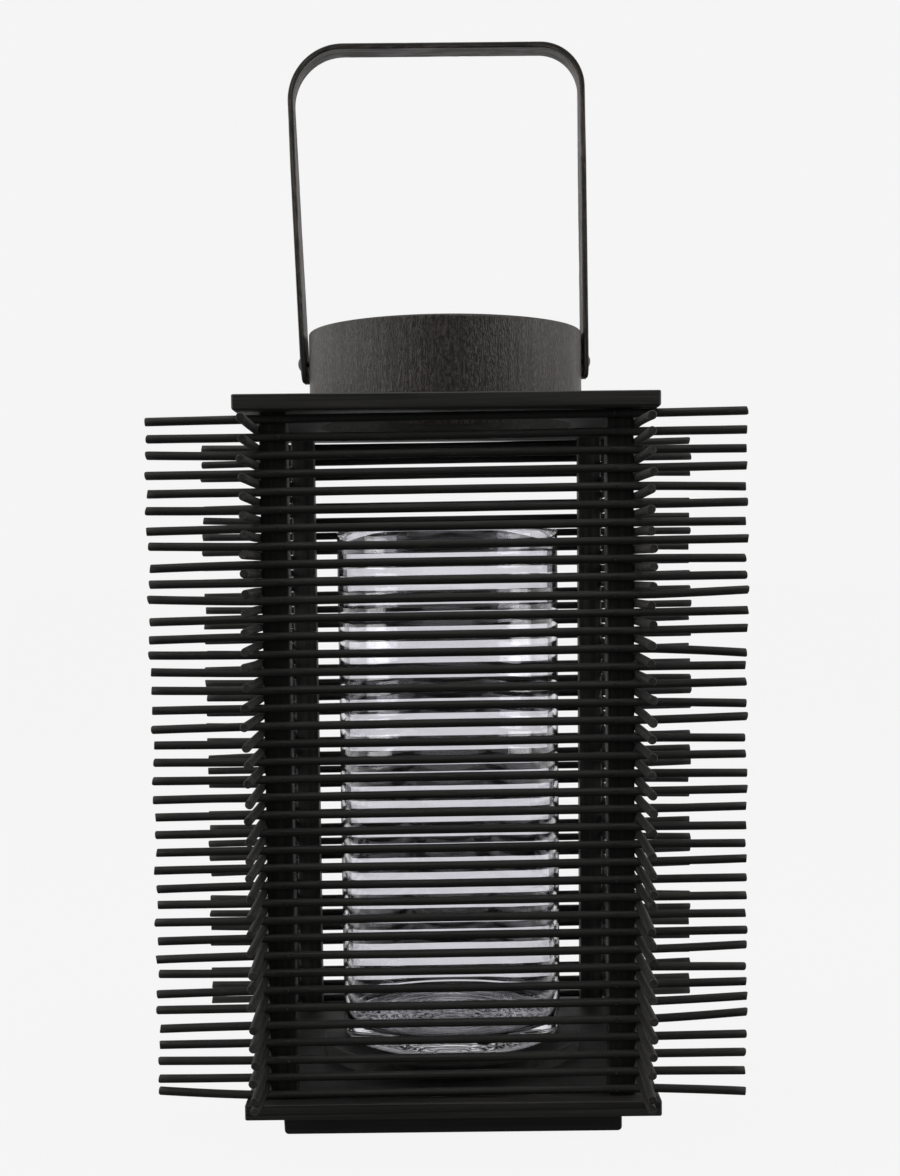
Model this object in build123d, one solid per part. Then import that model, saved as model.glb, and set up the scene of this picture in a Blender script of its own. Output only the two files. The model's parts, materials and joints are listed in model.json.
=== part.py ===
from build123d import *
import math
import os
from random import Random

# A square candle lantern, in millimetres. The origin is the middle of the plinth's underside,
# +Z is up and the front faces -Y. Four posts stand between two square boards. Rows of round
# bamboo sticks are nailed to the posts on all four sides and run on past the corners. A loose
# glass cylinder stands inside, under the round mouth of the top board's collar, and a bent
# bamboo strip swings on two rivets through the collar as the carrying handle.

# ---- boards ----
BOARD_SIDE = 210.0
BOARD_THICK = 8.0
EDGE_ROUND = 0.8
TOP_BOARD_LOWER_ROUND = 1.6
PLINTH_SIDE = 174.2
PLINTH_HEIGHT = 13.5
PLINTH_SHIFT = -0.4
PLINTH_TAPER = 0.6
PLINTH_ROUND = 2.2

# ---- posts ----
POST_SIDE = 13.5
POST_OUTER = 92.9
POST_HEIGHT = 346.0

# ---- stick rows ----
STICK_RADIUS = 2.1
STICK_LENGTH = 300.0
STICK_SHORTFALL = 1.6
FRONT_COUNT = 39
LOWEST_STICK_Z = 24.3
HIGHEST_STICK_Z = 364.6
ROW_RISE = 0.0067

# ---- brads through the sticks, and nails through the boards ----
BRAD_SHANK_RADIUS = 0.55
BRAD_HEAD_RADIUS = 0.9
BRAD_HEAD_THICK = 0.5
BRAD_HEAD_PROUD = 0.3
BRAD_BITE = 7.0
BRAD_OFFSET = 83.0
NAIL_SHANK_RADIUS = 1.25
NAIL_HEAD_RADIUS = 2.75
NAIL_HEAD_THICK = 1.2
NAIL_LENGTH = 35.0
NAIL_HEAD_PROUD = 0.25
BASE_NAIL_OFFSET = 83.2

# ---- round pieces ----
DISC_RADIUS = 71.5
DISC_THICK = 9.0
COLLAR_RADIUS = 74.5
COLLAR_WALL = 5.1
COLLAR_HEIGHT = 42.5
COLLAR_ROUND = 1.2
GLASS_RADIUS = 61.0
GLASS_WALL = 3.0
GLASS_BASE = 9.0
GLASS_HEIGHT = 280.0
GLASS_FOOT_ROUND = 4.0
GLASS_INNER_ROUND = 6.0
GLASS_RIM_ROUND = 1.4
GLASS_REST_GAP = 0.2

# ---- handle ----
STRIP_WIDTH = 16.5
STRIP_THICK = 3.0
STRIP_ROUND = 0.6
HANDLE_TOP_Z = 570.5
LEFT_ARM_END = (-77.3, 392.0)
LEFT_CORNER_X = -83.0
RIGHT_CORNER_X = 75.1
RIGHT_ARM_END = (76.6, 393.5)
LEFT_BEND_RADIUS = 28.5
RIGHT_BEND_RADIUS = 22.5
PIVOT_Z = 402.5

# ---- handle rivets ----
RIVET_RADIUS = 1.6
RIVET_CLEARANCE = 0.05
RIVET_HEAD_RADIUS = 3.5
RIVET_HEAD_HEIGHT = 1.3
RIVET_HEAD_GAP = 0.4
RIVET_TAIL_RADIUS = 2.4
RIVET_TAIL_HEIGHT = 1.0
BURR_RADIUS = 4.0
BURR_THICK = 0.8

# ---- worked out from the above ----
BASE_Z = PLINTH_HEIGHT
FLOOR_Z = BASE_Z + BOARD_THICK
CEILING_Z = FLOOR_Z + POST_HEIGHT
ROOF_Z = CEILING_Z + BOARD_THICK
MOUTH_RADIUS = COLLAR_RADIUS - COLLAR_WALL
POST_CENTRE = POST_OUTER - POST_SIDE / 2
ROW_OFFSET = POST_OUTER + STICK_RADIUS
BURR_SEAT = math.sqrt(MOUTH_RADIUS**2 - BURR_RADIUS**2)
STICK_PITCH = (HIGHEST_STICK_Z - LOWEST_STICK_Z) / (FRONT_COUNT - 1)
CORNERS = {"front_left": (-1, -1), "front_right": (1, -1), "back_left": (-1, 1), "back_right": (1, 1)}
LEVEL_UP = (Align.CENTER, Align.CENTER, Align.MIN)
LEVEL_DOWN = (Align.CENTER, Align.CENTER, Align.MAX)


def edges_at(solid, height):
    """The edges of a solid that lie flat at one height."""
    return [e for e in solid.edges() if abs(e.center().Z - height) < 1e-3 and e.bounding_box().size.Z < 1e-3]


def board(low_z, lower_round):
    """A square board with its upright corners and its upper and lower edges eased."""
    blank = Pos(0, 0, low_z) * Box(BOARD_SIDE, BOARD_SIDE, BOARD_THICK, align=LEVEL_UP)
    blank = fillet(blank.edges().filter_by(Axis.Z), EDGE_ROUND * 1.5)
    blank = fillet(edges_at(blank, low_z + BOARD_THICK), EDGE_ROUND)
    return fillet(edges_at(blank, low_z), lower_round)


def plinth():
    """The smaller board under the base, with its left side planed to a slight taper."""
    half = PLINTH_SIDE / 2
    outline = Polyline(
        (-half, PLINTH_HEIGHT), (half, PLINTH_HEIGHT), (half, 0), (PLINTH_TAPER - half, 0), close=True
    )
    blank = Pos(PLINTH_SHIFT, 0, 0) * extrude(Plane.XZ * make_face(outline), PLINTH_SIDE / 2, both=True)
    blank = fillet(blank.edges().filter_by(Axis.Y).group_by(Axis.Z)[0], PLINTH_ROUND)
    front_and_back = [e for e in edges_at(blank, 0) if abs(e.center().Y) > half - 1]
    return fillet(front_and_back, PLINTH_ROUND / 2)


def top_board():
    """The upper board with the round mouth that the glass is lifted out through."""
    mouth = Pos(0, 0, CEILING_Z) * Cylinder(MOUTH_RADIUS, BOARD_THICK, align=LEVEL_UP)
    return board(CEILING_Z, TOP_BOARD_LOWER_ROUND) - mouth


def glass_disc():
    """The raised round that the glass stands on, glued to the middle of the base board."""
    blank = Pos(0, 0, FLOOR_Z) * Cylinder(DISC_RADIUS, DISC_THICK, align=LEVEL_UP)
    return fillet(edges_at(blank, FLOOR_Z + DISC_THICK), EDGE_ROUND)


def post(side_x, side_y):
    """One square corner post with eased long edges."""
    place = Pos(side_x * POST_CENTRE, side_y * POST_CENTRE, FLOOR_Z)
    blank = place * Box(POST_SIDE, POST_SIDE, POST_HEIGHT, align=LEVEL_UP)
    return fillet(blank.edges().filter_by(Axis.Z), EDGE_ROUND)


def front_heights():
    """Middle heights of the front and back sticks, highest first."""
    return [HIGHEST_STICK_Z - STICK_PITCH * k for k in range(FRONT_COUNT)]


def side_heights(side):
    """Middle heights of a side's sticks, each halfway between two front ones at that corner."""
    corner_rise = side * ROW_RISE * ROW_OFFSET
    return [z + corner_rise - STICK_PITCH / 2 for z in front_heights()[:-1]]


def stick(middle, direction, draw):
    """One round stick, cut a little short of full length at either end."""
    cuts = [draw.uniform(0, STICK_SHORTFALL) for _ in range(2)]
    run = Vector(*direction).normalized()
    shifted = Vector(*middle) + run * ((cuts[0] - cuts[1]) / 2)
    return Plane(origin=shifted, z_dir=run) * Cylinder(STICK_RADIUS, STICK_LENGTH - sum(cuts))


def cross_row(side, seed):
    """The front (-1) or back (1) row. Its sticks rise a little towards +X."""
    draw = Random(seed)
    return [stick((0, side * ROW_OFFSET, z), (1, 0, ROW_RISE), draw) for z in front_heights()]


def side_row(side, seed):
    """The left (-1) or right (1) row. Its level sticks pass between the front and back ones."""
    draw = Random(seed)
    return [stick((side * ROW_OFFSET, 0, z), (0, 1, 0), draw) for z in side_heights(side)]


def headed_pin(tip_to_head, point, shank_radius, length, head_radius, head_thick, proud):
    """A nail driven against tip_to_head, its head standing proud of the surface at point."""
    pin = Cylinder(shank_radius, length, align=LEVEL_DOWN)
    head = Pos(0, 0, proud - head_thick) * Cylinder(head_radius, head_thick, align=LEVEL_UP)
    return Plane(origin=point, z_dir=tip_to_head) * (pin + head)


def brad(outward, point):
    """A fine brad through a stick into the post behind it."""
    length = 2 * STICK_RADIUS + BRAD_BITE
    return headed_pin(
        outward, point, BRAD_SHANK_RADIUS, length, BRAD_HEAD_RADIUS, BRAD_HEAD_THICK, BRAD_HEAD_PROUD
    )


def cross_row_brads(side):
    """Two brads in each stick of the front (-1) or back (1) row."""
    face = side * (ROW_OFFSET + STICK_RADIUS)
    return [
        brad((0, side, 0), (x, face, z + ROW_RISE * x))
        for z in front_heights()
        for x in (-BRAD_OFFSET, BRAD_OFFSET)
    ]


def side_row_brads(side):
    """Two brads in each stick of the left (-1) or right (1) row."""
    face = side * (ROW_OFFSET + STICK_RADIUS)
    return [
        brad((side, 0, 0), (face, y, z))
        for z in side_heights(side)
        for y in (-BRAD_OFFSET, BRAD_OFFSET)
    ]


def board_nails(offset, height, upward, proud):
    """Four nails through a board into the ends of the posts."""
    return [
        headed_pin(
            (0, 0, upward), (sx * offset, sy * offset, height),
            NAIL_SHANK_RADIUS, NAIL_LENGTH, NAIL_HEAD_RADIUS, NAIL_HEAD_THICK, proud,
        )
        for sx, sy in CORNERS.values()
    ]


def collar_ring():
    """The bent-wood collar around the mouth, drilled at both sides for the handle's rivets."""
    ring = Cylinder(COLLAR_RADIUS, COLLAR_HEIGHT, align=LEVEL_UP)
    ring -= Cylinder(MOUTH_RADIUS, COLLAR_HEIGHT, align=LEVEL_UP)
    ring = fillet(edges_at(ring, COLLAR_HEIGHT), COLLAR_ROUND)
    drill = Pos(0, 0, PIVOT_Z) * Cylinder(RIVET_RADIUS, 3 * COLLAR_RADIUS, rotation=(0, 90, 0))
    return Pos(0, 0, ROOF_Z) * ring - drill


def glass_cylinder():
    """The loose glass: a plain cylinder with a thick foot, rounded rim and open top."""
    foot_z = FLOOR_Z + DISC_THICK + GLASS_REST_GAP
    blank = Pos(0, 0, foot_z) * Cylinder(GLASS_RADIUS, GLASS_HEIGHT, align=LEVEL_UP)
    hollow_z = foot_z + GLASS_BASE
    hollow = Pos(0, 0, hollow_z) * Cylinder(GLASS_RADIUS - GLASS_WALL, GLASS_HEIGHT, align=LEVEL_UP)
    hollow = fillet(edges_at(hollow, hollow_z), GLASS_INNER_ROUND)
    blank = fillet(edges_at(blank, foot_z), GLASS_FOOT_ROUND) - hollow
    return fillet(edges_at(blank, foot_z + GLASS_HEIGHT), GLASS_RIM_ROUND)


def handle_path():
    """The bent strip's middle line, up the left arm, over the top and down the right arm."""
    return FilletPolyline(
        (LEFT_ARM_END[0], 0, LEFT_ARM_END[1]),
        (LEFT_CORNER_X, 0, HANDLE_TOP_Z),
        (RIGHT_CORNER_X, 0, HANDLE_TOP_Z),
        (RIGHT_ARM_END[0], 0, RIGHT_ARM_END[1]),
        radius=[LEFT_BEND_RADIUS, RIGHT_BEND_RADIUS],
    )


def handle_strip():
    """The flat bamboo strip bent into a bail, drilled at both arms for the rivets."""
    path = handle_path()
    start = Plane(origin=path @ 0, x_dir=(0, 1, 0), z_dir=path % 0)
    strip = sweep(start * RectangleRounded(STRIP_WIDTH, STRIP_THICK, STRIP_ROUND), path=path)
    drill = Cylinder(RIVET_RADIUS + RIVET_CLEARANCE, 3 * COLLAR_RADIUS, rotation=(0, 90, 0))
    return strip - Pos(0, 0, PIVOT_Z) * drill


def arm_x(arm_end, corner_x):
    """Where an arm's middle line crosses the pivot's height."""
    share = (PIVOT_Z - arm_end[1]) / (HANDLE_TOP_Z - arm_end[1])
    return arm_end[0] + share * (corner_x - arm_end[0])


def rivet(side, arm_middle):
    """A domed rivet through the handle's arm and the collar, peened over a burr inside."""
    head_x = abs(arm_middle) + STRIP_THICK / 2 + RIVET_HEAD_GAP
    inner_x = BURR_SEAT - BURR_THICK
    shank = Pos(0, 0, inner_x) * Cylinder(RIVET_RADIUS, head_x - inner_x, align=LEVEL_UP)
    ball = (RIVET_HEAD_RADIUS**2 + RIVET_HEAD_HEIGHT**2) / (2 * RIVET_HEAD_HEIGHT)
    dome = Pos(0, 0, head_x + RIVET_HEAD_HEIGHT - ball) * Sphere(ball)
    dome &= Pos(0, 0, head_x) * Cylinder(ball, ball, align=LEVEL_UP)
    tail = Pos(0, 0, inner_x) * Cylinder(RIVET_TAIL_RADIUS, RIVET_TAIL_HEIGHT, align=LEVEL_DOWN)
    tail = fillet(edges_at(tail, inner_x - RIVET_TAIL_HEIGHT), RIVET_TAIL_HEIGHT / 2)
    return Plane(origin=(0, 0, PIVOT_Z), z_dir=(side, 0, 0)) * (shank + dome + tail)


def rivet_burr(side):
    """The small flat washer between the rivet's peened tail and the collar's round inside."""
    ring = Pos(0, 0, BURR_SEAT) * Cylinder(BURR_RADIUS, BURR_THICK, align=LEVEL_DOWN)
    hole = Pos(0, 0, BURR_SEAT) * Cylinder(RIVET_RADIUS, BURR_THICK, align=LEVEL_DOWN)
    return Plane(origin=(0, 0, PIVOT_Z), z_dir=(side, 0, 0)) * (ring - hole)


def save(name, shapes):
    """Write one node, made of one solid or of a group of separate ones."""
    solids = [solid for shape in shapes for solid in shape.solids()]
    node = solids[0] if len(solids) == 1 else Compound(children=solids)
    node.label = name
    export_step(node, os.path.join("parts", name + ".step"))


os.makedirs("parts", exist_ok=True)
save("plinth", [plinth()])
save("base_board", [board(BASE_Z, EDGE_ROUND)])
save("glass_disc", [glass_disc()])
for corner, (side_x, side_y) in CORNERS.items():
    save(corner + "_post", [post(side_x, side_y)])
save("top_board", [top_board()])
save("collar_ring", [collar_ring()])
save("glass_cylinder", [glass_cylinder()])
save("handle_strip", [handle_strip()])
save("front_sticks", cross_row(-1, seed=11))
save("back_sticks", cross_row(1, seed=12))
save("left_sticks", side_row(-1, seed=13))
save("right_sticks", side_row(1, seed=14))
save("front_brads", cross_row_brads(-1))
save("back_brads", cross_row_brads(1))
save("left_brads", side_row_brads(-1))
save("right_brads", side_row_brads(1))
save("top_nails", board_nails(POST_CENTRE, ROOF_Z, 1, NAIL_HEAD_PROUD))
save("base_nails", board_nails(BASE_NAIL_OFFSET, BASE_Z, -1, 0.0))
save("left_rivet", [rivet(-1, arm_x(LEFT_ARM_END, LEFT_CORNER_X))])
save("right_rivet", [rivet(1, arm_x(RIGHT_ARM_END, RIGHT_CORNER_X))])
save("left_rivet_burr", [rivet_burr(-1)])
save("right_rivet_burr", [rivet_burr(1)])
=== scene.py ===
import json
import math
import random
from collections import namedtuple

import bmesh
import bpy
import numpy as np
from mathutils import Matrix, Quaternion, Vector, noise


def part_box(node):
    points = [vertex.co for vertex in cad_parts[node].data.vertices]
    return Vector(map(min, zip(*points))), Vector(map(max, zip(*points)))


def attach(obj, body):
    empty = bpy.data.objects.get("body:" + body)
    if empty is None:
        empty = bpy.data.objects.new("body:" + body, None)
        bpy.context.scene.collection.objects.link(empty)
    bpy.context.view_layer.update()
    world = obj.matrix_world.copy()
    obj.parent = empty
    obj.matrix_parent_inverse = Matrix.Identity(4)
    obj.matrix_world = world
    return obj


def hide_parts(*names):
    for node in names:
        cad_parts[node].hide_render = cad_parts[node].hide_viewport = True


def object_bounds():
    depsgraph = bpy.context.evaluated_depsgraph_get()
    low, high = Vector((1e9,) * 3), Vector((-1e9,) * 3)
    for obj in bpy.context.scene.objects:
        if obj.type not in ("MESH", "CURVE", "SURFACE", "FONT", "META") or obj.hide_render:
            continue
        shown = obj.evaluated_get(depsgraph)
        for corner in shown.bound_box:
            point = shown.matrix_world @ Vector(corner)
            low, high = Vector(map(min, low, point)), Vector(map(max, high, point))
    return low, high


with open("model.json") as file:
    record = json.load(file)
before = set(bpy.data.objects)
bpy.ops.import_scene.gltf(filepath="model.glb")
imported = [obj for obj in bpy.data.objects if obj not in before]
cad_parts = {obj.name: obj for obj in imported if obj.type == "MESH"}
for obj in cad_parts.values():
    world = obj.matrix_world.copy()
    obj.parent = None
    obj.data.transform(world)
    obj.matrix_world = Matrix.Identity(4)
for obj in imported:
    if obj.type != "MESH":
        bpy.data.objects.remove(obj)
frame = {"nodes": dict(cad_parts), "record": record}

# The candle lantern's looks, in metres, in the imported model's own frame. The stick rows, the handle
# and the glass are detailed meshes that stand for their plain solids; every other solid keeps its
# shape and gets its finish here.

CAD_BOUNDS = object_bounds()
MM = 0.001


# ---------------------------------------------------------------- camera

LENS_MM = 50.26
SENSOR_MM = 36.0
CAMERA_AT = (-0.0022, -0.9134, 0.2882)
CAMERA_YAW = -0.0032
CAMERA_PITCH_DOWN = 0.0722
CAMERA_ROLL = -0.0104
CAMERA_SHIFT_Y = 0.0868


def make_camera():
    """The camera in front of the lantern, a little above its middle and tipped slightly down."""
    data = bpy.data.cameras.new("camera")
    data.sensor_width = SENSOR_MM
    data.lens = LENS_MM
    data.shift_y = CAMERA_SHIFT_Y
    camera = bpy.data.objects.new("camera", data)
    bpy.context.scene.collection.objects.link(camera)
    yaw = Matrix.Rotation(CAMERA_YAW, 4, "Z")
    pitch = Matrix.Rotation(math.pi / 2 - CAMERA_PITCH_DOWN, 4, "X")
    roll = Matrix.Rotation(CAMERA_ROLL, 4, "Z")
    camera.matrix_world = Matrix.Translation(CAMERA_AT) @ yaw @ pitch @ roll
    bpy.context.scene.camera = camera


# ---------------------------------------------------------------- studio

# The backdrop and the floor show as one even pale grey. The light that they give the lantern is
# another matter: it is dim on the camera's side and bright behind, which keeps the fronts black.

PALE = 0.913
FLOOR_RADIUS = 30.0
FLOOR_GLOW = 0.917
FLOOR_SHADOW_SHARE = 0.02
DIM = 0.06
BRIGHT = 1.0
FLOOR_BRIGHT = 0.65
FLOOR_RAMP = (-0.25, 0.35)
WORLD_RAMP = (-0.8, 0.25)
DIM_SIDE_TURN = 0.3
SEEN_THROUGH_GLASS = 0.6
SIDE_BOX_AT = (1.5, -0.35, 0.55)
SIDE_BOX_SIZE = (0.9, 1.4)
SIDE_BOX_WATTS = 12
TOP_BOX_AT = (0, -0.5, 1.7)
TOP_BOX_SIZE = (1.2, 1.2)
TOP_BOX_WATTS = 7


def ramp(tree, value, low, high, to_low, to_high):
    """A smooth step from to_low to to_high as a node's value goes from low to high."""
    step = tree.nodes.new("ShaderNodeMapRange")
    step.interpolation_type = "SMOOTHSTEP"
    step.inputs["From Min"].default_value = low
    step.inputs["From Max"].default_value = high
    step.inputs["To Min"].default_value = to_low
    step.inputs["To Max"].default_value = to_high
    tree.links.new(value, step.inputs["Value"])
    return step.outputs[0]


def depth_of(tree, output, turn=0.0):
    """A texture coordinate's Y once turned about Z: low on the camera's side, high behind the lantern."""
    where = tree.nodes.new("ShaderNodeTexCoord")
    turned = tree.nodes.new("ShaderNodeMapping")
    turned.inputs["Rotation"].default_value = (0, 0, -turn)
    tree.links.new(where.outputs[output], turned.inputs["Vector"])
    shade_line_at = tree.nodes.new("ShaderNodeSeparateXYZ")
    tree.links.new(turned.outputs[0], shade_line_at.inputs[0])
    return shade_line_at.outputs["Y"]


def seen_or_lit(tree, lit, seen):
    """The seen shader for what the camera looks at, the lit one for what the lantern gets, and some
    of both for what shows through the glass."""
    path = tree.nodes.new("ShaderNodeLightPath")
    looked_at = tree.nodes.new("ShaderNodeMath")
    looked_at.operation = "MULTIPLY_ADD"
    tree.links.new(path.outputs["Is Transmission Ray"], looked_at.inputs[0])
    looked_at.inputs[1].default_value = SEEN_THROUGH_GLASS
    tree.links.new(path.outputs["Is Camera Ray"], looked_at.inputs[2])
    mix = tree.nodes.new("ShaderNodeMixShader")
    tree.links.new(looked_at.outputs[0], mix.inputs["Fac"])
    tree.links.new(lit.outputs[0], mix.inputs[1])
    tree.links.new(seen.outputs[0], mix.inputs[2])
    return mix


def make_floor():
    """A plain pale floor that takes only a faint shadow, and lights the lantern from behind."""
    bpy.ops.mesh.primitive_circle_add(vertices=96, radius=FLOOR_RADIUS, fill_type="NGON")
    floor = bpy.context.object
    floor.name = "floor"
    paint = bpy.data.materials.new("floor_paint")
    paint.use_nodes = True
    tree = paint.node_tree
    tree.nodes.clear()
    glow = tree.nodes.new("ShaderNodeEmission")
    glow.inputs["Color"].default_value = (FLOOR_GLOW, FLOOR_GLOW, FLOOR_GLOW, 1)
    matt = tree.nodes.new("ShaderNodeBsdfDiffuse")
    matt.inputs["Color"].default_value = (PALE, PALE, PALE, 1)
    seen = tree.nodes.new("ShaderNodeMixShader")
    seen.inputs["Fac"].default_value = FLOOR_SHADOW_SHARE
    tree.links.new(glow.outputs[0], seen.inputs[1])
    tree.links.new(matt.outputs[0], seen.inputs[2])
    lit = tree.nodes.new("ShaderNodeEmission")
    strength = ramp(tree, depth_of(tree, "Object"), *FLOOR_RAMP, DIM, FLOOR_BRIGHT)
    tree.links.new(strength, lit.inputs["Strength"])
    out = tree.nodes.new("ShaderNodeOutputMaterial")
    tree.links.new(seen_or_lit(tree, lit, seen).outputs[0], out.inputs["Surface"])
    floor.data.materials.append(paint)


def make_world():
    """Soft light from behind and from both sides, dim on the camera's side."""
    world = bpy.data.worlds.new("studio")
    world.use_nodes = True
    bpy.context.scene.world = world
    tree = world.node_tree
    tree.nodes.clear()
    lit = tree.nodes.new("ShaderNodeBackground")
    strength = ramp(tree, depth_of(tree, "Generated", DIM_SIDE_TURN), *WORLD_RAMP, DIM, BRIGHT)
    tree.links.new(strength, lit.inputs["Strength"])
    seen = tree.nodes.new("ShaderNodeBackground")
    seen.inputs["Color"].default_value = (PALE, PALE, PALE, 1)
    out = tree.nodes.new("ShaderNodeOutputWorld")
    tree.links.new(seen_or_lit(tree, lit, seen).outputs[0], out.inputs["Surface"])


def softbox(name, place, target, size, watts):
    """A square area light at place, turned to face target."""
    data = bpy.data.lights.new(name, "AREA")
    data.shape = "RECTANGLE"
    data.size, data.size_y = size
    data.energy = watts
    lamp = bpy.data.objects.new(name, data)
    bpy.context.scene.collection.objects.link(lamp)
    lamp.location = place
    lamp.rotation_euler = (Vector(target) - Vector(place)).to_track_quat("-Z", "Y").to_euler()


def make_lights():
    """A softbox on each side and one overhead, all turned to the lantern's middle."""
    low, high = CAD_BOUNDS
    middle = (0, 0, (low[2] + high[2]) / 2)
    x, y, z = SIDE_BOX_AT
    softbox("left_box", (-x, y, z), middle, SIDE_BOX_SIZE, SIDE_BOX_WATTS)
    softbox("right_box", (x, y, z), middle, SIDE_BOX_SIZE, SIDE_BOX_WATTS)
    softbox("top_box", TOP_BOX_AT, middle, TOP_BOX_SIZE, TOP_BOX_WATTS)


# ---------------------------------------------------------------- material helpers


class Paint:
    """A node material under construction, with short calls for the nodes that the finishes share."""

    def __init__(self, name):
        self.material = bpy.data.materials.new(name)
        self.material.use_nodes = True
        self.tree = self.material.node_tree
        self.shader = self.tree.nodes["Principled BSDF"]

    def set(self, **values):
        for key, value in values.items():
            self.shader.inputs[key.replace("_", " ")].default_value = value
        return self

    def link(self, source, target):
        self.tree.links.new(source, target)
        return source

    def place(self):
        return self.tree.nodes.new("ShaderNodeTexCoord").outputs["Object"]

    def axes(self, vector):
        shade_line_at = self.tree.nodes.new("ShaderNodeSeparateXYZ")
        self.link(vector, shade_line_at.inputs[0])
        return list(shade_line_at.outputs)

    def attribute(self, name, output="Vector"):
        node = self.tree.nodes.new("ShaderNodeAttribute")
        node.attribute_name = name
        return node.outputs[output]

    def stretched(self, vector, scale, offset=(0, 0, 0)):
        node = self.tree.nodes.new("ShaderNodeMapping")
        node.inputs["Scale"].default_value = scale
        node.inputs["Location"].default_value = offset
        self.link(vector, node.inputs["Vector"])
        return node.outputs[0]

    def grain(self, vector, scale=1.0, detail=4.0, rough=0.6, distortion=0.0):
        node = self.tree.nodes.new("ShaderNodeTexNoise")
        node.inputs["Scale"].default_value = scale
        node.inputs["Detail"].default_value = detail
        node.inputs["Roughness"].default_value = rough
        node.inputs["Distortion"].default_value = distortion
        self.link(vector, node.inputs["Vector"])
        return node.outputs["Fac"]

    def spread(self, value, low, high, to_low=0.0, to_high=1.0):
        return ramp(self.tree, value, low, high, to_low, to_high)

    def math(self, operation, a, b):
        node = self.tree.nodes.new("ShaderNodeMath")
        node.operation = operation
        for socket, value in zip(node.inputs, (a, b)):
            if isinstance(value, (int, float)):
                socket.default_value = value
            else:
                self.link(value, socket)
        return node.outputs[0]

    def blend(self, share, first, second):
        node = self.tree.nodes.new("ShaderNodeMix")
        node.data_type = "RGBA"
        self.link(share, node.inputs["Factor"])
        for socket, value in zip(node.inputs[6:8], (first, second)):
            if isinstance(value, tuple):
                socket.default_value = (*value, 1)
            else:
                self.link(value, socket)
        return node.outputs[2]

    def bump(self, height, depth, strength=1.0, under=None):
        node = self.tree.nodes.new("ShaderNodeBump")
        node.inputs["Distance"].default_value = depth
        node.inputs["Strength"].default_value = strength
        self.link(height, node.inputs["Height"])
        if under is not None:
            self.link(under, node.inputs["Normal"])
        return node.outputs["Normal"]

    def colour(self, source):
        self.link(source, self.shader.inputs["Base Color"])

    def roughness(self, source):
        self.link(source, self.shader.inputs["Roughness"])

    def normal(self, source):
        self.link(source, self.shader.inputs["Normal"])


# ---------------------------------------------------------------- materials

STAIN_DARK = (0.011, 0.0106, 0.0098)
STAIN_LIGHT = (0.046, 0.044, 0.040)
STAIN_WORN = (0.085, 0.078, 0.070)
SHADE_LINE_COLOUR = (0.002, 0.002, 0.002)
WEAR_REACH = 1.3 * MM


def edge_wear(paint, node, reach):
    """1 along the edges of a box-shaped solid, falling to 0 within reach of them."""
    low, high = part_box(node)
    middle, half = (low + high) / 2, (high - low) / 2
    shift = paint.tree.nodes.new("ShaderNodeVectorMath")
    shift.operation = "SUBTRACT"
    shift.inputs[1].default_value = middle
    paint.link(paint.place(), shift.inputs[0])
    from_middle = paint.axes(shift.outputs[0])
    inset = []
    for axis in range(3):
        inset.append(paint.math("SUBTRACT", half[axis], paint.math("ABSOLUTE", from_middle[axis], 0)))
    a, b, c = inset
    larger_and_c = paint.math("MINIMUM", paint.math("MAXIMUM", a, b), c)
    second_smallest = paint.math("MAXIMUM", paint.math("MINIMUM", a, b), larger_and_c)
    return paint.spread(second_smallest, 0, reach, 1, 0)


def painted_shade_line(paint, height, rise):
    """1 along a thin line of painted shade round a board's edges, at a height above the floor that rises
    with X, as under the lowest front stick.
    """
    x, _, z = paint.axes(paint.place())
    wander = paint.grain(paint.place(), scale=35, detail=3)
    line = paint.math("ADD", paint.math("MULTIPLY", x, rise), height)
    line = paint.math("ADD", line, paint.math("MULTIPLY", wander, 1.2 * MM))
    off = paint.math("ABSOLUTE", paint.math("SUBTRACT", z, line), 0)
    return paint.spread(off, 0.2 * MM, 0.65 * MM, 1, 0)


def stained_wood(name, along, wear_of=None, painted_light_scale=1.0, seed=0.0, shade_line_at=None):
    """Black-stained wood with open grain that runs along one axis, worn on its edges.

    For a board, the last argument is the (height, rise) of a thin line of painted shade round its edges.
    """
    paint = Paint(name)
    fibre_scale = [420.0, 420.0, 420.0]
    fibre_scale[along] = 9.0
    band_scale = [60.0, 60.0, 60.0]
    band_scale[along] = 2.5
    fibre_place = paint.stretched(paint.place(), fibre_scale, (seed, seed, seed))
    fibres = paint.grain(fibre_place, detail=5, rough=0.65)
    band_place = paint.stretched(paint.place(), band_scale, (seed, 0, seed))
    bands = paint.grain(band_place, detail=3, distortion=0.4)
    blotch = paint.grain(paint.place(), scale=18, detail=2)
    band_tone = paint.spread(bands, 0.2, 0.8, 0.45, 1.0)
    tone = paint.math("MULTIPLY", paint.spread(fibres, 0.32, 0.72), band_tone)
    # The scale given for light and shade multiplies the stain's two colours: below 1 it paints shade, above
    # 1 it paints light.
    dark = tuple(c * painted_light_scale for c in STAIN_DARK)
    light = tuple(c * painted_light_scale for c in STAIN_LIGHT)
    colour = paint.blend(tone, dark, light)
    if wear_of:
        edges = edge_wear(paint, wear_of, WEAR_REACH)
        rub = paint.math("MULTIPLY", edges, paint.spread(blotch, 0.42, 0.62))
        colour = paint.blend(paint.math("MULTIPLY", rub, 0.3), colour, STAIN_WORN)
    # Painted shade: a thin dark line across the board, where the lowest front stick's edge meets it.
    if shade_line_at:
        line = paint.math("MULTIPLY", painted_shade_line(paint, *shade_line_at), 0.85)
        colour = paint.blend(line, colour, SHADE_LINE_COLOUR)
    paint.colour(colour)
    paint.roughness(paint.spread(blotch, 0.3, 0.7, 0.48, 0.66))
    paint.normal(paint.bump(fibres, 0.25 * MM, 0.5, paint.bump(bands, 0.3 * MM, 0.3)))
    return paint.material


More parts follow.
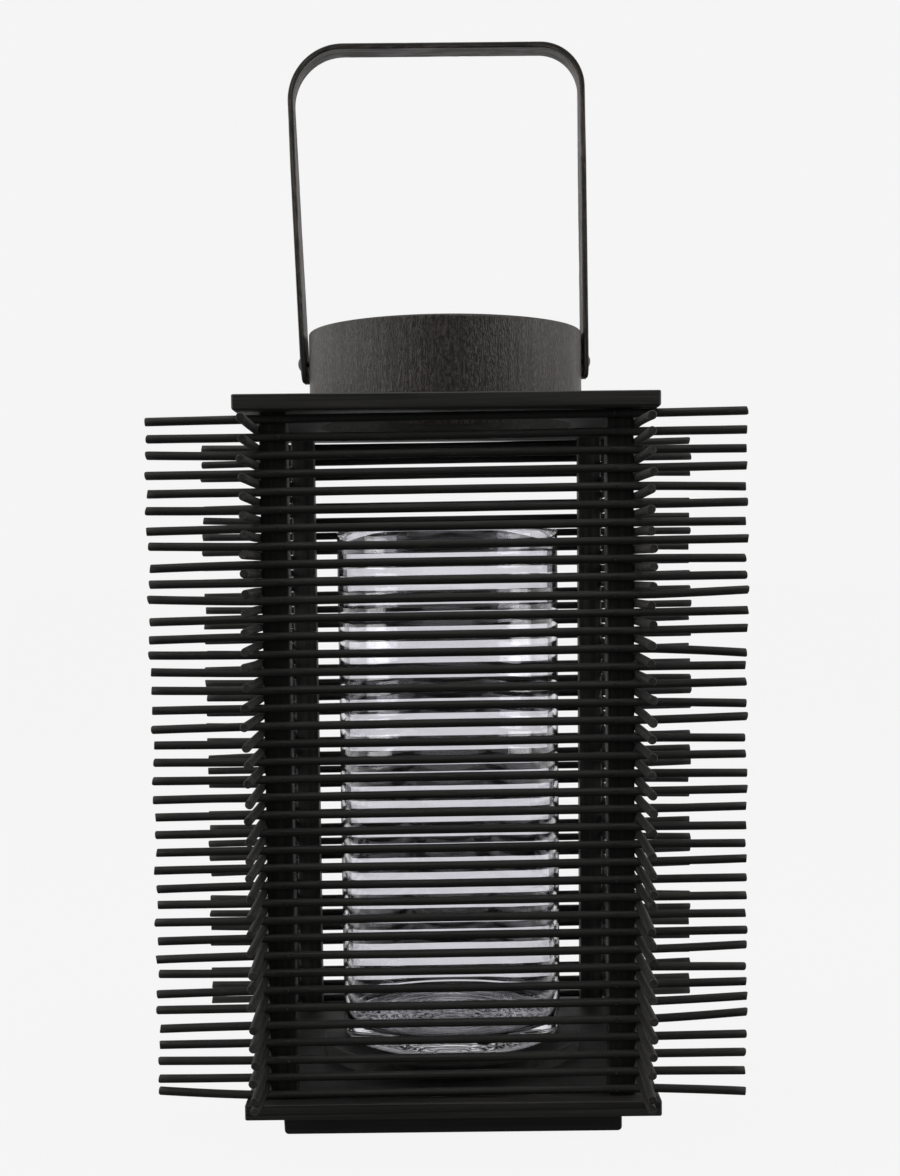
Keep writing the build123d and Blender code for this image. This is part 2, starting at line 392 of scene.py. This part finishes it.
def stick_wood():
    """Black-stained split bamboo: fibres that follow each rod, and a tone of each rod's own."""
    paint = Paint("stick_wood")
    run = paint.attribute("rod_run")
    tone = paint.attribute("rod_tone", "Fac")
    fibres = paint.grain(paint.stretched(run, (14, 1400, 1400)), detail=4, rough=0.6)
    patches = paint.grain(paint.stretched(run, (55, 300, 300)), detail=3)
    lift = paint.math("MULTIPLY", paint.spread(fibres, 0.3, 0.75), paint.spread(tone, 0, 1, 0.4, 1.0))
    colour = paint.blend(lift, STAIN_DARK, STAIN_LIGHT)
    scuff = paint.math("MULTIPLY", paint.spread(patches, 0.62, 0.74), 0.35)
    paint.colour(paint.blend(scuff, colour, STAIN_WORN))
    paint.roughness(paint.spread(patches, 0.3, 0.7, 0.56, 0.74))
    paint.normal(paint.bump(fibres, 0.15 * MM, 0.5))
    return paint.material


def stick_end_wood():
    """The cut ends, with pores of the bamboo's fibre bundles showing through the stain."""
    paint = Paint("stick_end_wood")
    pores = paint.grain(paint.place(), scale=2600, detail=2, rough=0.5)
    blotch = paint.grain(paint.place(), scale=500, detail=2)
    paint.colour(paint.blend(paint.spread(pores, 0.35, 0.65), (0.014, 0.013, 0.012), (0.055, 0.051, 0.046)))
    paint.roughness(paint.spread(blotch, 0.3, 0.7, 0.7, 0.9))
    paint.normal(paint.bump(pores, 0.2 * MM, 0.6))
    return paint.material


def collar_wood():
    """The bent collar: short upright dashes and pits showing through a thin black-brown stain."""
    paint = Paint("collar_wood")
    dashes = paint.grain(paint.stretched(paint.place(), (1150, 1150, 330)), detail=4, rough=0.7)
    strands = paint.grain(paint.stretched(paint.place(), (260, 260, 9)), detail=4, rough=0.6)
    pits = paint.grain(paint.stretched(paint.place(), (1, 1, 0.6)), scale=1200, detail=3)
    blotch = paint.grain(paint.place(), scale=25, detail=3)
    strand_tone = paint.spread(strands, 0.3, 0.7, 0.45, 1.0)
    tone = paint.math("MULTIPLY", paint.spread(dashes, 0.38, 0.62), strand_tone)
    colour = paint.blend(tone, (0.004, 0.0034, 0.0027), (0.100, 0.084, 0.065))
    paint.colour(paint.blend(paint.spread(pits, 0.52, 0.64), colour, (0.003, 0.003, 0.003)))
    paint.roughness(paint.spread(blotch, 0.3, 0.7, 0.38, 0.5))
    relief = paint.bump(dashes, 0.5 * MM, 0.8, paint.bump(strands, 0.8 * MM, 0.6))
    paint.normal(paint.bump(pits, -0.4 * MM, 0.7, relief))
    return paint.material


def handle_wood():
    """The bent bamboo strip, its stain thinner and browner on the inside of the bend."""
    paint = Paint("handle_wood")
    run = paint.attribute("strip_run")
    fibres = paint.grain(paint.stretched(run, (10, 900, 900)), detail=5, rough=0.65)
    blotch = paint.grain(paint.stretched(run, (40, 160, 160)), detail=3)
    cuts = paint.grain(paint.stretched(run, (65, 330, 330)), detail=5, rough=0.7, distortion=0.8)
    cut_tone = paint.spread(cuts, 0.38, 0.62, 0.2, 1.0)
    tone = paint.math("MULTIPLY", paint.spread(fibres, 0.35, 0.65), cut_tone)
    outside = paint.blend(tone, (0.010, 0.0092, 0.008), (0.135, 0.120, 0.100))
    inside = paint.blend(tone, (0.006, 0.0052, 0.005), (0.18, 0.15, 0.138))
    paint.colour(paint.blend(paint.attribute("strip_inside", "Fac"), outside, inside))
    paint.roughness(paint.spread(blotch, 0.3, 0.7, 0.42, 0.62))
    paint.normal(paint.bump(fibres, 0.2 * MM, 0.5, paint.bump(cuts, 0.5 * MM, 0.5)))
    return paint.material


def dark_steel():
    """Fasteners stained over with the wood, rubbed to bare metal in small spots."""
    paint = Paint("dark_steel")
    rub = paint.spread(paint.grain(paint.place(), scale=900, detail=3), 0.58, 0.66)
    paint.colour(paint.blend(rub, (0.02, 0.0195, 0.019), (0.16, 0.15, 0.14)))
    paint.link(paint.math("MULTIPLY", rub, 0.8), paint.shader.inputs["Metallic"])
    fine = paint.grain(paint.place(), scale=3000, detail=2)
    paint.roughness(paint.spread(fine, 0.3, 0.7, 0.35, 0.55))
    paint.normal(paint.bump(fine, 0.05 * MM, 0.4))
    return paint.material


def clear_glass():
    """Clear blown glass with painted shade in its thick base, and faint ripples and a few marks on its
    surface.
    """
    paint = Paint("clear_glass")
    paint.set(Transmission_Weight=1.0, IOR=1.5)
    haze = paint.grain(paint.stretched(paint.place(), (90, 90, 25)), detail=4, rough=0.7)
    tint = paint.grain(paint.place(), scale=12, detail=2)
    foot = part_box("glass_cylinder")[0].z
    height = paint.axes(paint.place())[2]
    painted_foot_shade = paint.spread(height, foot + 2 * MM, foot + 10 * MM, 1, 0)
    clear = paint.blend(tint, (0.89, 0.885, 0.925), (0.925, 0.92, 0.95))
    # Painted shade: the base's colour falls to a dark grey so that what shows through the foot comes out
    # dim.
    paint.colour(paint.blend(painted_foot_shade, clear, (0.48, 0.475, 0.5)))
    paint.roughness(paint.spread(haze, 0.62, 0.8, 0.0, 0.12))
    ripple = paint.grain(paint.stretched(paint.place(), (30, 30, 7)), detail=1)
    paint.normal(paint.bump(ripple, 0.5 * MM, 0.12))
    return paint.material


# ---------------------------------------------------------------- pieces


def shaded_mesh(name, vertices, faces, materials, face_materials=None):
    """A smooth-shaded mesh object in the scene, its faces turned outwards."""
    mesh = bpy.data.meshes.new(name)
    mesh.from_pydata(vertices, [], faces)
    for material in materials:
        mesh.materials.append(material)
    if face_materials:
        mesh.polygons.foreach_set("material_index", face_materials)
    turned = bmesh.new()
    turned.from_mesh(mesh)
    bmesh.ops.recalc_face_normals(turned, faces=turned.faces)
    turned.to_mesh(mesh)
    turned.free()
    mesh.polygons.foreach_set("use_smooth", [True] * len(mesh.polygons))
    piece = bpy.data.objects.new(name, mesh)
    bpy.context.scene.collection.objects.link(piece)
    return piece


def give_attribute(piece, name, kind, values):
    """A point attribute for the materials: kind FLOAT or FLOAT_VECTOR."""
    layer = piece.data.attributes.new(name, kind, "POINT")
    key = "value" if kind == "FLOAT" else "vector"
    flat = values if kind == "FLOAT" else [c for v in values for c in v]
    layer.data.foreach_set(key, flat)


def stand_for(piece, node, body):
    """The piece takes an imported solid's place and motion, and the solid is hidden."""
    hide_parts(node)
    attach(piece, body)


def tube_faces(first, rings, sides):
    """The quads between successive closed rings of points, numbered from first."""
    faces = []
    for ring in range(rings - 1):
        for side in range(sides):
            a = first + ring * sides + side
            b = first + ring * sides + (side + 1) % sides
            faces.append((a, b, b + sides, a + sides))
    return faces


# -- stick rows

ROD_RADIUS = 2.15 * MM
ROD_SIDES = 16
ROD_GAP = 2.5 * MM
CORNER_REACH = 97 * MM
SPAN_STEP = 8 * MM
TIP_STEP = 6 * MM
TIP_ROUND = 0.45 * MM
TIP_INSET = 0.5 * MM
TIP_BEVEL = 0.3 * MM
TIP_SLANT = 0.2
DRIFT_POWER = 1.3
MOST_LIFT = 1.6
MOST_SWAY = 1.2
SWAY_SPREAD = 0.4
MOST_BOW = 0.3 * MM
UNEVENNESS = 0.035
CUT_HOLLOW = 0.1 * MM
CUT_ROUGHNESS = 0.12 * MM
SIDE_MATERIAL, END_MATERIAL = 0, 1

RodShape = namedtuple("RodShape", "tone twist bow drifts slants")


def rod_ends(node, axis):
    """The two end centres of every rod in a row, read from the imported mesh, highest rod first."""
    points = [v.co for v in frame["nodes"][node].data.vertices]
    sides = []
    for side in (-1, 1):
        ring = sorted((p for p in points if p[axis] * side > 0), key=lambda p: -p.z)
        groups = [[ring[0]]]
        for above, below in zip(ring, ring[1:]):
            if above.z - below.z > ROD_GAP:
                groups.append([])
            groups[-1].append(below)
        centres = []
        for group in groups:
            low = Vector([min(p[i] for p in group) for i in range(3)])
            high = Vector([max(p[i] for p in group) for i in range(3)])
            centres.append((low + high) / 2)
        sides.append(centres)
    return list(zip(*sides))


def stations(length):
    """Distances along a rod from its start, with one just inside each end for its rounded edge."""
    half = length / 2
    tip_count = math.ceil((half - CORNER_REACH) / TIP_STEP)
    span_count = math.ceil(2 * CORNER_REACH / SPAN_STEP)
    tip = [(half - CORNER_REACH) * i / tip_count for i in range(tip_count)]
    span = [half - CORNER_REACH + 2 * CORNER_REACH * i / span_count for i in range(span_count)]
    tip.insert(1, TIP_ROUND)
    return tip + span + [length - d for d in reversed(tip)]


def rod_offset(distance, length, bow, drifts):
    """How far (up, sideways) a rod's middle line is off the straight one at a distance along it."""
    offset = distance - length / 2
    past = abs(offset) - CORNER_REACH
    if past <= 0:
        return bow * math.cos(math.pi / 2 * offset / CORNER_REACH) ** 2, 0.0
    share = (past / (length / 2 - CORNER_REACH)) ** DRIFT_POWER
    return tuple(d * share for d in drifts[0 if offset < 0 else 1])


class RowMesh:
    """The points and faces of a row of rods under construction."""

    def __init__(self):
        self.vertices, self.runs, self.tones = [], [], []
        self.faces, self.face_materials = [], []

    def add_point(self, place, run, tone):
        self.vertices.append(place)
        self.runs.append(run)
        self.tones.append(tone)

    def add_faces(self, faces, material):
        self.faces += faces
        self.face_materials += [material] * len(faces)


def drawn_shape(draw, spread, chosen):
    """What sets one rod apart, drawn at random.

    chosen gives, for an end that isn't left to chance, its drift up or down in mm.
    """
    tone, twist, bow = draw.random(), draw.uniform(0, 50), draw.uniform(-MOST_BOW, MOST_BOW)
    drifts = []
    for end in range(2):
        lift = max(-MOST_LIFT, min(MOST_LIFT, draw.gauss(0, spread)))
        sway = max(-MOST_SWAY, min(MOST_SWAY, draw.gauss(0, SWAY_SPREAD)))
        drifts.append((chosen.get(end, lift) * MM, sway * MM))
    slants = [[draw.uniform(-TIP_SLANT, TIP_SLANT) for _ in range(2)] for _ in range(2)]
    return RodShape(tone, twist, bow, drifts, slants)


def add_rod(row, start, stop, shape):
    """Adds a rod from start to stop: its slightly uneven tube and its two cut ends."""
    along = (stop - start).normalized()
    start = start + along * TIP_INSET
    length = (stop - start).length - TIP_INSET
    across = Vector((0, 0, 1)).cross(along).normalized()
    upward = along.cross(across)
    rings = stations(length)
    first = len(row.vertices)
    for ring, distance in enumerate(rings):
        lift, sway = rod_offset(distance, length, shape.bow, shape.drifts)
        centre = start + along * distance + upward * lift + across * sway
        tip = ring in (0, len(rings) - 1)
        slant = shape.slants[0 if ring == 0 else 1] if tip else (0, 0)
        for side in range(ROD_SIDES):
            angle = 2 * math.pi * side / ROD_SIDES
            c, s = math.cos(angle), math.sin(angle)
            rough = noise.noise((distance * 45 + shape.twist, c * 1.6, s * 1.6 + shape.twist))
            reach = ROD_RADIUS * (1.0 + UNEVENNESS * rough) - (TIP_BEVEL if tip else 0)
            skew = (c * slant[0] + s * slant[1]) * reach
            place = centre + across * c * reach + upward * s * reach + along * skew
            run = (distance + shape.twist, c * ROD_RADIUS, s * ROD_RADIUS + shape.twist)
            row.add_point(place, run, shape.tone)
    row.add_faces(tube_faces(first, len(rings), ROD_SIDES), SIDE_MATERIAL)
    add_cut_end(row, first, along, 1, shape)
    add_cut_end(row, first + (len(rings) - 1) * ROD_SIDES, along, -1, shape)


def add_cut_end(row, rim, along, inward, shape):
    """Closes the rod end whose ring of points starts at rim with a slightly hollow, rough cut face."""
    middle = sum(row.vertices[rim : rim + ROD_SIDES], Vector()) / ROD_SIDES
    inner = len(row.vertices)
    for i in range(rim, rim + ROD_SIDES):
        push = CUT_ROUGHNESS * noise.noise((i * 3.7, shape.twist, 0.5))
        place = middle + (row.vertices[i] - middle) * 0.5 + along * (inward * CUT_HOLLOW + push)
        row.add_point(place, row.runs[i], shape.tone)
    row.add_point(middle + along * inward * CUT_HOLLOW / 2, (shape.twist, 0, shape.twist), shape.tone)
    faces = []
    for side in range(ROD_SIDES):
        following = (side + 1) % ROD_SIDES
        faces.append((rim + side, rim + following, inner + following, inner + side))
        faces.append((inner + side, inner + following, inner + ROD_SIDES))
    row.add_faces(faces, END_MATERIAL)


def make_row(name, node, axis, seed, spread, bent_ends=()):
    """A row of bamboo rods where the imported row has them, their free ends each a little off line.

    spread is the usual drift of a free end up or down, in mm. bent_ends are (rod, end, drift) for
    the few that stand out, with rod 0 the highest and end 0 the one at the low coordinate.
    """
    draw = random.Random(seed)
    row = RowMesh()
    for rod, (start, stop) in enumerate(rod_ends(node, axis)):
        chosen = {end: drift for bent_rod, end, drift in bent_ends if bent_rod == rod}
        add_rod(row, start, stop, drawn_shape(draw, spread, chosen))
    piece = shaded_mesh(name, row.vertices, row.faces, [STICK_WOOD, STICK_END], row.face_materials)
    give_attribute(piece, "rod_run", "FLOAT_VECTOR", row.runs)
    give_attribute(piece, "rod_tone", "FLOAT", row.tones)
    piece.data.set_sharp_from_angle(angle=math.radians(50))
    stand_for(piece, node, "lantern_body")


# -- handle

LEFT_ARM_END = Vector((-77.3, 0, 392.0)) * MM
RIGHT_ARM_END = Vector((76.6, 0, 393.5)) * MM
LEFT_CORNER = Vector((-83.0, 0, 570.5)) * MM
RIGHT_CORNER = Vector((75.1, 0, 570.5)) * MM
LEFT_BEND = 28.5 * MM
RIGHT_BEND = 22.5 * MM
STRIP_WIDTH = 16.5 * MM
STRIP_THICK = 3.0 * MM
STRIP_ROUND = 0.7 * MM
INSIDE_FACE = -0.9 * MM
BACKWARDS = Vector((0, 1, 0))
STRIP_STEP = 1.5 * MM
END_ROUND = 3 * MM
SHAVED_INSIDE = 0.16 * MM
SHAVED_OUTSIDE = 0.07 * MM
LEFT_TRIM = (7.5 * MM, 0.6 * MM)
RIGHT_TRIM = (5 * MM, 0.4 * MM)
RIVET_HOLE = 1.65 * MM
PIVOT_Z = 402.5 * MM
ARM_TWIST = math.radians(2)
ARM_RUN = 150 * MM
ARM_FADE = 40 * MM
LEFT_TWIST = math.radians(2)
LEFT_SET_IN = 0.5 * MM
TWIST_REACH = 110 * MM


def bend(before, corner, after, radius):
    """Points round the arc that joins two straight runs at a corner."""
    inward, onward = (before - corner).normalized(), (after - corner).normalized()
    half = inward.angle(onward) / 2
    centre = corner + (inward + onward).normalized() * radius / math.sin(half)
    first = corner + inward * radius / math.tan(half) - centre
    last = corner + onward * radius / math.tan(half) - centre
    axis, sweep = first.cross(last).normalized(), first.angle(last)
    steps = math.ceil(radius * sweep / STRIP_STEP)
    return [centre + Quaternion(axis, sweep * i / steps) @ first for i in range(steps + 1)]


def bail_line():
    """The strip's middle line, from the left arm's end over the top to the right arm's end."""
    knots = [LEFT_ARM_END]
    knots += bend(LEFT_ARM_END, LEFT_CORNER, RIGHT_CORNER, LEFT_BEND)
    knots += bend(LEFT_CORNER, RIGHT_CORNER, RIGHT_ARM_END, RIGHT_BEND)
    knots.append(RIGHT_ARM_END)
    line = []
    for a, b in zip(knots, knots[1:]):
        steps = max(1, round((b - a).length / STRIP_STEP))
        line += [a.lerp(b, i / steps) for i in range(steps)]
    return line + [knots[-1]]


def strip_outline():
    """The strip's rounded section as (across, outwards) points, denser over its two wide faces."""
    half_wide, half_thick = STRIP_WIDTH / 2 - STRIP_ROUND, STRIP_THICK / 2 - STRIP_ROUND
    outline = []
    for u, v, turn in ((1, 1, 0), (-1, 1, 1), (-1, -1, 2), (1, -1, 3)):
        for i in range(5):
            angle = math.pi / 2 * (turn + i / 4)
            across = u * half_wide + STRIP_ROUND * math.cos(angle)
            outline.append((across, v * half_thick + STRIP_ROUND * math.sin(angle)))
        if turn in (0, 2):
            outline += [(u * half_wide * (1 - i / 5), v * STRIP_THICK / 2) for i in range(1, 10)]
    return outline


def ease(share):
    """A smooth step from 0 to 1 as share goes from 0 to 1."""
    share = max(0.0, min(1.0, share))
    return share * share * (3 - 2 * share)


def trim(from_end, length, depth):
    """How deep the outer face is cut back at a distance from an arm's end."""
    return max(0.0, 1 - from_end / length) * depth


def strip_point(place, outward, run, across, out, from_left, from_right):
    """Where a point of the strip's section goes.

    The faces are hand-shaved, the edges wander, the arm ends are trimmed, and both arms are turned a
    little so that their back edges lie nearer to the collar, the left one more than the right.
    """
    shaved = noise.noise((run * 55, across * 260, 3.0)) + 0.6 * noise.noise((run * 160, across * 500, 7.0))
    out += (SHAVED_INSIDE if out < 0 else -SHAVED_OUTSIDE) * abs(shaved)
    across *= 0.985 + 0.015 * noise.noise((run * 14, math.copysign(5, across), 0))
    end = min(from_left, from_right)
    if end < END_ROUND:
        most = STRIP_WIDTH / 2 - END_ROUND + math.sqrt(max(0.0, END_ROUND**2 - (END_ROUND - end) ** 2))
        across = max(-most, min(most, across))
    if out > 0:
        out -= trim(from_left, *LEFT_TRIM) + trim(from_right, *RIGHT_TRIM)
    near = ease(1 - from_left / TWIST_REACH)
    turn = ARM_TWIST * ease((ARM_RUN - end) / ARM_FADE) + LEFT_TWIST * near
    out -= across * math.sin(turn) + LEFT_SET_IN * near
    return place + outward * out + Vector((0, across, 0))


def drill(piece):
    """Bores the rivet holes through both arms."""
    bpy.ops.mesh.primitive_cylinder_add(vertices=48, radius=RIVET_HOLE, depth=0.2, location=(0, 0, PIVOT_Z))
    bit = bpy.context.object
    bit.rotation_euler = (0, math.pi / 2, 0)
    cut = piece.modifiers.new("rivet_holes", "BOOLEAN")
    cut.operation, cut.solver, cut.object = "DIFFERENCE", "EXACT", bit
    bpy.context.view_layer.update()
    shaped = piece.evaluated_get(bpy.context.evaluated_depsgraph_get())
    drilled = bpy.data.meshes.new_from_object(shaped)
    piece.modifiers.clear()
    piece.data = drilled
    bpy.data.objects.remove(bit)


def make_handle():
    """The bamboo strip bent into a bail, drilled for its rivets."""
    line = bail_line()
    outline = strip_outline()
    runs = [0.0]
    for a, b in zip(line, line[1:]):
        runs.append(runs[-1] + (b - a).length)
    aheads = [(b - a).normalized() for a, b in zip(line[:1] + line[:-1], line[1:] + line[-1:])]
    vertices = []
    for i, place in enumerate(line):
        outward = aheads[i].cross(BACKWARDS)
        for across, out in outline:
            ends = (runs[i], runs[-1] - runs[i])
            vertices.append(strip_point(place, outward, runs[i], across, out, *ends))
    sides = len(outline)
    faces = tube_faces(0, len(line), sides)
    for base in (0, (len(line) - 1) * sides):
        middle = sum(vertices[base : base + sides], Vector()) / sides
        vertices.append(middle)
        faces += [(base + i, base + (i + 1) % sides, len(vertices) - 1) for i in range(sides)]
    piece = shaded_mesh("handle_bail", vertices, faces, [handle_wood()])
    drill(piece)
    places = np.array([v.co for v in piece.data.vertices])
    path = np.array(line)
    nearest = np.array([np.argmin(((path - p) ** 2).sum(axis=1)) for p in places])
    run_at, inside = [], []
    for p, i in zip(places, nearest):
        offset = Vector(p) - line[i]
        out = offset.dot(aheads[i].cross(BACKWARDS))
        run_at.append((runs[i] + offset.dot(aheads[i]), p[1], out))
        inside.append(1.0 if out < INSIDE_FACE else 0.0)
    give_attribute(piece, "strip_run", "FLOAT_VECTOR", run_at)
    give_attribute(piece, "strip_inside", "FLOAT", inside)
    piece.data.set_sharp_from_angle(angle=math.radians(40))
    stand_for(piece, "handle_strip", "handle")


# -- glass

GLASS_SIDES = 160
GLASS_WALL = 3.0 * MM
GLASS_BASE = 9.0 * MM
FOOT_ROUND = 4.0 * MM
WELL_ROUND = 5.0 * MM
RIM_ROUND = 1.5 * MM
WALL_STEP = 7 * MM
WALL_RIPPLE = 0.14 * MM
PUSH_UP = 0.9 * MM
FLOOR_STEPS = 34
FLOOR_RING = 0.16 * MM
FLOOR_DIMPLE = 0.05 * MM


def quarter(middle, radius, start, steps):
    """Points of a quarter turn round middle, from a start angle in quarter turns."""
    points = []
    for i in range(steps + 1):
        angle = math.pi / 2 * (start + i / steps)
        points.append((middle[0] + radius * math.cos(angle), middle[1] + radius * math.sin(angle)))
    return points


def glass_profile(radius, height):
    """(radius, height) points from the foot's middle, up the outside, over the rim and down inside."""
    inner = radius - GLASS_WALL
    push_up = [(r * MM, PUSH_UP * (1 - (r / 52) ** 2)) for r in range(4, 52, 4)]
    profile = push_up + quarter((radius - FOOT_ROUND, FOOT_ROUND), FOOT_ROUND, 3, 6)
    steps = math.ceil(height / WALL_STEP)
    rise = [FOOT_ROUND + (height - FOOT_ROUND - RIM_ROUND) * i / steps for i in range(1, steps)]
    profile += [(radius, z) for z in rise]
    profile += quarter((radius - RIM_ROUND, height - RIM_ROUND), RIM_ROUND, 0, 5)
    profile += quarter((radius - RIM_ROUND, height - RIM_ROUND), RIM_ROUND, 1, 5)[1:]
    well_top = GLASS_BASE + WELL_ROUND
    fall = [z for z in reversed(rise) if z > well_top + 2 * MM]
    profile += [(inner, z) for z in fall]
    well = quarter((inner - WELL_ROUND, well_top), WELL_ROUND, 3, 6)
    profile += reversed(well)
    floor_edge = well[0][0]
    for i in range(1, FLOOR_STEPS):
        r = floor_edge * (1 - i / FLOOR_STEPS)
        profile.append((r, GLASS_BASE + FLOOR_RING * math.sin(r / (0.95 * MM))))
    return profile


def make_glass():
    """The clear cylinder: a thick pushed-up base with rings in its floor, and slightly rippled walls."""
    low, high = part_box("glass_cylinder")
    radius, height = high.x, high.z - low.z
    profile = glass_profile(radius, height)
    vertices = []
    for r, z in profile:
        for side in range(GLASS_SIDES):
            angle = 2 * math.pi * side / GLASS_SIDES
            c, s = math.cos(angle), math.sin(angle)
            ripple = noise.noise((c * 2.2, s * 2.2, z * 14))
            ripple += 0.35 * noise.noise((c * 7, s * 7, z * 45 + 9))
            reach = r - WALL_RIPPLE * (0.7 + ripple) * min(1.0, r / radius) ** 4
            dimple = FLOOR_DIMPLE * noise.noise((r * c * 300, r * s * 300, z))
            vertices.append((reach * c, reach * s, low.z + z + dimple))
    faces = tube_faces(0, len(profile), GLASS_SIDES)
    for base, z in ((0, PUSH_UP), ((len(profile) - 1) * GLASS_SIDES, GLASS_BASE)):
        vertices.append((0, 0, low.z + z))
        faces += [(base + i, base + (i + 1) % GLASS_SIDES, len(vertices) - 1) for i in range(GLASS_SIDES)]
    piece = shaded_mesh("glass_chimney", vertices, faces, [clear_glass()])
    stand_for(piece, "glass_cylinder", "glass")


# ---------------------------------------------------------------- build

make_camera()
make_floor()
make_world()
make_lights()

STICK_WOOD = stick_wood()
STICK_END = stick_end_wood()
FRONT_BENT = (
    (38, 0, 3.0), (10, 0, 1.6), (14, 0, 1.2), (13, 1, -3.0), (33, 1, 2.1), (34, 1, 3.0),
    (30, 1, 1.5), (10, 1, 1.6), (38, 1, -2.5),
)
LEFT_BENT = ((37, 0, 4.6),)
RIGHT_BENT = (
    (0, 0, -1.5), (23, 0, -2.0), (24, 0, -2.0), (25, 0, -2.0), (27, 0, -2.0), (36, 0, -2.0), (37, 0, 1.5),
)
make_row("front_stick_row", "front_sticks", 0, seed=21, spread=0.6, bent_ends=FRONT_BENT)
make_row("back_stick_row", "back_sticks", 0, seed=22, spread=0.6)
make_row("left_stick_row", "left_sticks", 1, seed=23, spread=0.6, bent_ends=LEFT_BENT)
make_row("right_stick_row", "right_sticks", 1, seed=24, spread=0.6, bent_ends=RIGHT_BENT)
make_handle()
make_glass()


def paint_node(node, material):
    """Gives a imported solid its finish."""
    solid = frame["nodes"][node]
    solid.data.materials.clear()
    solid.data.materials.append(material)


# Painted shade: the plinth's stain is scaled down to 0.4 so that its front shows near black.
paint_node("plinth", stained_wood("plinth_wood", 0, wear_of="plinth", painted_light_scale=0.4))
paint_node("base_board", stained_wood("base_board_wood", 0, wear_of="base_board", shade_line_at=(16.6 * MM, 0.009)))
paint_node("top_board", stained_wood("top_board_wood", 0, wear_of="top_board", seed=1))
# Painted light: the posts' stain is scaled up to 1.2 to lift their fronts where the sticks shade them.
for post_name in ("front_left_post", "front_right_post", "back_left_post", "back_right_post"):
    post_wood = stained_wood(post_name + "_wood", 2, wear_of=post_name, painted_light_scale=1.2, seed=len(post_name))
    paint_node(post_name, post_wood)
paint_node("glass_disc", stained_wood("glass_disc_wood", 0, seed=3))
paint_node("collar_ring", collar_wood())
STEEL = dark_steel()
for metal in frame["record"]["subparts"]:
    if metal["material_slot"] == "dark_steel":
        paint_node(metal["node"], STEEL)

bpy.context.scene.view_settings.view_transform = "Standard"
